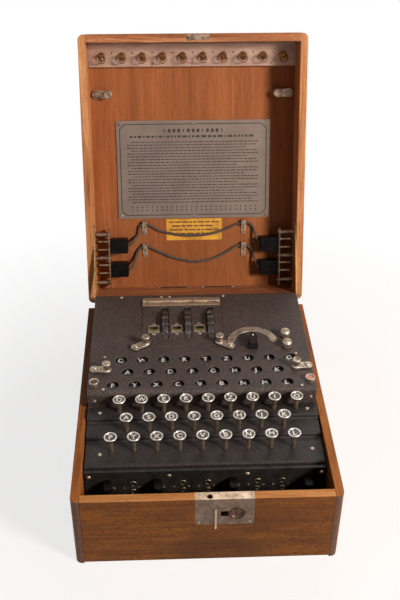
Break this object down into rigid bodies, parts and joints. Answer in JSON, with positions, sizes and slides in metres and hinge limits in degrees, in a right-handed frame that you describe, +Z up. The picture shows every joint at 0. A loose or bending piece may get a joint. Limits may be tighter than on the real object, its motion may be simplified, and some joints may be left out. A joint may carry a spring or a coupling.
{
  "type": "rotor cipher machine",
  "caption": "Portable rotor cipher machine: oak carrying case, keyboard, lamp windows, hinged rotor cover, plugboard behind a front flap, open lid with spares.",
  "frame": {"origin": "middle of the underside of the oak case", "axes": "+X to the operator's right, +Y to the rear, +Z up"},
  "size_m": [0.28, 0.5036, 0.4169],
  "materials": {
    "oak": "aged satin varnish",
    "aged_nickel": "aged nickel plate",
    "brass": "dulled brass",
    "lock_metal": "worn nickel silver",
    "steel": "plated steel",
    "rotor_metal": "darkened steel",
    "black_crackle": "black crackle paint",
    "black_film": "matte",
    "ebonite": "hard rubber, satin",
    "plug_black": "moulded, glossy",
    "cord_cover": "braided cotton cover",
    "brown_paint": "brown paint",
    "bulb_glass": "clear",
    "plate_metal": "darkened, etched",
    "key_nickel": "bright nickel ring"
  },
  "bodies": {
    "case": {"oak_case": "oak", "case_fittings": "aged_nickel", "chassis": "steel", "lamp_deck": "black_crackle", "lamp_panel": "black_film", "key_deck": "black_crackle", "plugboard": "ebonite", "sockets": "brass", "board_plugs": "plug_black", "board_cords": "cord_cover"},
    "lid": {"lid_frame": "oak", "lid_fittings": "aged_nickel", "bulb_bar": "brown_paint", "spare_bulbs": "bulb_glass", "instruction_plate": "plate_metal", "plug_racks": "aged_nickel", "patch_plugs": "plug_black", "patch_cords": "cord_cover"},
    "flap": {"front_flap": "oak", "flap_fittings": "lock_metal"},
    "lock_slide": {"lock_slide": "lock_metal"},
    "rotor_left": {"rotor_left": "rotor_metal"},
    "rotor_middle": {"rotor_middle": "rotor_metal"},
    "rotor_right": {"rotor_right": "rotor_metal"},
    "rotor_cover": {"rotor_cover": "black_crackle"},
    "switch_knob": {"switch_knob": "ebonite"},
    "clamp_rear_left": {"clamp_rear_left": "aged_nickel"},
    "clamp_rear_right": {"clamp_rear_right": "aged_nickel"},
    "clamp_front_left": {"clamp_front_left": "aged_nickel"},
    "clamp_front_right": {"clamp_front_right": "aged_nickel"},
    "stay_left": {"stay_left": "brass"},
    "stay_right": {"stay_right": "brass"},
    "lid_catch_left": {"lid_catch_left": "aged_nickel"},
    "lid_catch_right": {"lid_catch_right": "aged_nickel"},
    "key_q": {"key_q": "key_nickel"},
    "key_w": {"key_w": "key_nickel"},
    "key_e": {"key_e": "key_nickel"},
    "key_r": {"key_r": "key_nickel"},
    "key_t": {"key_t": "key_nickel"},
    "key_z": {"key_z": "key_nickel"},
    "key_u": {"key_u": "key_nickel"},
    "key_i": {"key_i": "key_nickel"},
    "key_o": {"key_o": "key_nickel"},
    "key_a": {"key_a": "key_nickel"},
    "key_s": {"key_s": "key_nickel"},
    "key_d": {"key_d": "key_nickel"},
    "key_f": {"key_f": "key_nickel"},
    "key_g": {"key_g": "key_nickel"},
    "key_h": {"key_h": "key_nickel"},
    "key_j": {"key_j": "key_nickel"},
    "key_k": {"key_k": "key_nickel"},
    "key_p": {"key_p": "key_nickel"},
    "key_y": {"key_y": "key_nickel"},
    "key_x": {"key_x": "key_nickel"},
    "key_c": {"key_c": "key_nickel"},
    "key_v": {"key_v": "key_nickel"},
    "key_b": {"key_b": "key_nickel"},
    "key_n": {"key_n": "key_nickel"},
    "key_m": {"key_m": "key_nickel"},
    "key_l": {"key_l": "key_nickel"}
  },
  "joints": [
    {"name": "lid_hinge", "type": "hinge", "parent": "case", "child": "lid", "pos_m": [0, 0.17, 0.09425], "axis": [-1, 0, 0], "range_deg": [-109.1, 0]},
    {"name": "flap_hinge", "type": "hinge", "parent": "case", "child": "flap", "pos_m": [0, -0.1656, 0.006], "axis": [1, 0, 0], "range_deg": [0, 90]},
    {"name": "lock_push", "type": "slide", "parent": "flap", "child": "lock_slide", "axis": [-1, 0, 0], "range_m": [0, 0.005], "stiffness_N_per_m": 100, "springref_m": -0.002},
    {"name": "rotor_left_turn", "type": "hinge", "parent": "case", "child": "rotor_left", "pos_m": [0, 0.097, 0.075], "axis": [1, 0, 0], "continuous": true},
    {"name": "rotor_middle_turn", "type": "hinge", "parent": "case", "child": "rotor_middle", "pos_m": [0, 0.097, 0.075], "axis": [1, 0, 0], "continuous": true},
    {"name": "rotor_right_turn", "type": "hinge", "parent": "case", "child": "rotor_right", "pos_m": [0, 0.097, 0.075], "axis": [1, 0, 0], "continuous": true},
    {"name": "cover_hinge", "type": "hinge", "parent": "case", "child": "rotor_cover", "pos_m": [-0.0198, 0.14, 0.1188], "axis": [-1, 0, 0], "range_deg": [0, 100]},
    {"name": "switch_turn", "type": "hinge", "parent": "case", "child": "switch_knob", "pos_m": [0.064, 0.055, 0.118], "axis": [0, 0, 1], "range_deg": [-75, 75]},
    {"name": "clamp_rear_left_turn", "type": "hinge", "parent": "case", "child": "clamp_rear_left", "pos_m": [-0.0762, 0.0474, 0.1193], "axis": [0, 0, 1], "range_deg": [-90, 45]},
    {"name": "clamp_rear_right_turn", "type": "hinge", "parent": "case", "child": "clamp_rear_right", "pos_m": [0.0366, 0.0474, 0.1193], "axis": [0, 0, 1], "range_deg": [-45, 90]},
    {"name": "clamp_front_left_turn", "type": "hinge", "parent": "case", "child": "clamp_front_left", "pos_m": [-0.1225, 0.0085, 0.1193], "axis": [0, 0, 1], "range_deg": [-60, 60]},
    {"name": "clamp_front_right_turn", "type": "hinge", "parent": "case", "child": "clamp_front_right", "pos_m": [0.1237, 0.0085, 0.1193], "axis": [0, 0, 1], "range_deg": [-60, 60]},
    {"name": "stay_left_fold", "type": "hinge", "parent": "lid", "child": "stay_left", "pos_m": [-0.1302, 0.21042, 0.18608], "axis": [1, 0, 0], "range_deg": [-167, 0]},
    {"name": "stay_right_fold", "type": "hinge", "parent": "lid", "child": "stay_right", "pos_m": [0.1302, 0.21042, 0.18608], "axis": [1, 0, 0], "range_deg": [-167, 0]},
    {"name": "lid_catch_left_turn", "type": "hinge", "parent": "lid", "child": "lid_catch_left", "pos_m": [-0.1225, 0.2978, 0.3315], "axis": [0, 0.945, -0.327], "range_deg": [-90, 90]},
    {"name": "lid_catch_right_turn", "type": "hinge", "parent": "lid", "child": "lid_catch_right", "pos_m": [0.1225, 0.2978, 0.3315], "axis": [0, 0.945, -0.327], "range_deg": [-90, 90]},
    {"name": "key_q_press", "type": "slide", "parent": "case", "child": "key_q", "axis": [0, 0, -1], "range_m": [0, 0.006], "stiffness_N_per_m": 200, "springref_m": -0.004},
    {"name": "key_w_press", "type": "slide", "parent": "case", "child": "key_w", "axis": [0, 0, -1], "range_m": [0, 0.006], "stiffness_N_per_m": 200, "springref_m": -0.004},
    {"name": "key_e_press", "type": "slide", "parent": "case", "child": "key_e", "axis": [0, 0, -1], "range_m": [0, 0.006], "stiffness_N_per_m": 200, "springref_m": -0.004},
    {"name": "key_r_press", "type": "slide", "parent": "case", "child": "key_r", "axis": [0, 0, -1], "range_m": [0, 0.006], "stiffness_N_per_m": 200, "springref_m": -0.004},
    {"name": "key_t_press", "type": "slide", "parent": "case", "child": "key_t", "axis": [0, 0, -1], "range_m": [0, 0.006], "stiffness_N_per_m": 200, "springref_m": -0.004},
    {"name": "key_z_press", "type": "slide", "parent": "case", "child": "key_z", "axis": [0, 0, -1], "range_m": [0, 0.006], "stiffness_N_per_m": 200, "springref_m": -0.004},
    {"name": "key_u_press", "type": "slide", "parent": "case", "child": "key_u", "axis": [0, 0, -1], "range_m": [0, 0.006], "stiffness_N_per_m": 200, "springref_m": -0.004},
    {"name": "key_i_press", "type": "slide", "parent": "case", "child": "key_i", "axis": [0, 0, -1], "range_m": [0, 0.006], "stiffness_N_per_m": 200, "springref_m": -0.004},
    {"name": "key_o_press", "type": "slide", "parent": "case", "child": "key_o", "axis": [0, 0, -1], "range_m": [0, 0.006], "stiffness_N_per_m": 200, "springref_m": -0.004},
    {"name": "key_a_press", "type": "slide", "parent": "case", "child": "key_a", "axis": [0, 0, -1], "range_m": [0, 0.006], "stiffness_N_per_m": 200, "springref_m": -0.004},
    {"name": "key_s_press", "type": "slide", "parent": "case", "child": "key_s", "axis": [0, 0, -1], "range_m": [0, 0.006], "stiffness_N_per_m": 200, "springref_m": -0.004},
    {"name": "key_d_press", "type": "slide", "parent": "case", "child": "key_d", "axis": [0, 0, -1], "range_m": [0, 0.006], "stiffness_N_per_m": 200, "springref_m": -0.004},
    {"name": "key_f_press", "type": "slide", "parent": "case", "child": "key_f", "axis": [0, 0, -1], "range_m": [0, 0.006], "stiffness_N_per_m": 200, "springref_m": -0.004},
    {"name": "key_g_press", "type": "slide", "parent": "case", "child": "key_g", "axis": [0, 0, -1], "range_m": [0, 0.006], "stiffness_N_per_m": 200, "springref_m": -0.004},
    {"name": "key_h_press", "type": "slide", "parent": "case", "child": "key_h", "axis": [0, 0, -1], "range_m": [0, 0.006], "stiffness_N_per_m": 200, "springref_m": -0.004},
    {"name": "key_j_press", "type": "slide", "parent": "case", "child": "key_j", "axis": [0, 0, -1], "range_m": [0, 0.006], "stiffness_N_per_m": 200, "springref_m": -0.004},
    {"name": "key_k_press", "type": "slide", "parent": "case", "child": "key_k", "axis": [0, 0, -1], "range_m": [0, 0.006], "stiffness_N_per_m": 200, "springref_m": -0.004},
    {"name": "key_p_press", "type": "slide", "parent": "case", "child": "key_p", "axis": [0, 0, -1], "range_m": [0, 0.006], "stiffness_N_per_m": 200, "springref_m": -0.004},
    {"name": "key_y_press", "type": "slide", "parent": "case", "child": "key_y", "axis": [0, 0, -1], "range_m": [0, 0.006], "stiffness_N_per_m": 200, "springref_m": -0.004},
    {"name": "key_x_press", "type": "slide", "parent": "case", "child": "key_x", "axis": [0, 0, -1], "range_m": [0, 0.006], "stiffness_N_per_m": 200, "springref_m": -0.004},
    {"name": "key_c_press", "type": "slide", "parent": "case", "child": "key_c", "axis": [0, 0, -1], "range_m": [0, 0.006], "stiffness_N_per_m": 200, "springref_m": -0.004},
    {"name": "key_v_press", "type": "slide", "parent": "case", "child": "key_v", "axis": [0, 0, -1], "range_m": [0, 0.006], "stiffness_N_per_m": 200, "springref_m": -0.004},
    {"name": "key_b_press", "type": "slide", "parent": "case", "child": "key_b", "axis": [0, 0, -1], "range_m": [0, 0.006], "stiffness_N_per_m": 200, "springref_m": -0.004},
    {"name": "key_n_press", "type": "slide", "parent": "case", "child": "key_n", "axis": [0, 0, -1], "range_m": [0, 0.006], "stiffness_N_per_m": 200, "springref_m": -0.004},
    {"name": "key_m_press", "type": "slide", "parent": "case", "child": "key_m", "axis": [0, 0, -1], "range_m": [0, 0.006], "stiffness_N_per_m": 200, "springref_m": -0.004},
    {"name": "key_l_press", "type": "slide", "parent": "case", "child": "key_l", "axis": [0, 0, -1], "range_m": [0, 0.006], "stiffness_N_per_m": 200, "springref_m": -0.004}
  ],
  "couplings": [
    {"joint": "stay_left_fold", "follows": "lid_hinge", "ratio": 1.5293},
    {"joint": "stay_right_fold", "follows": "lid_hinge", "ratio": 1.5293}
  ]
}
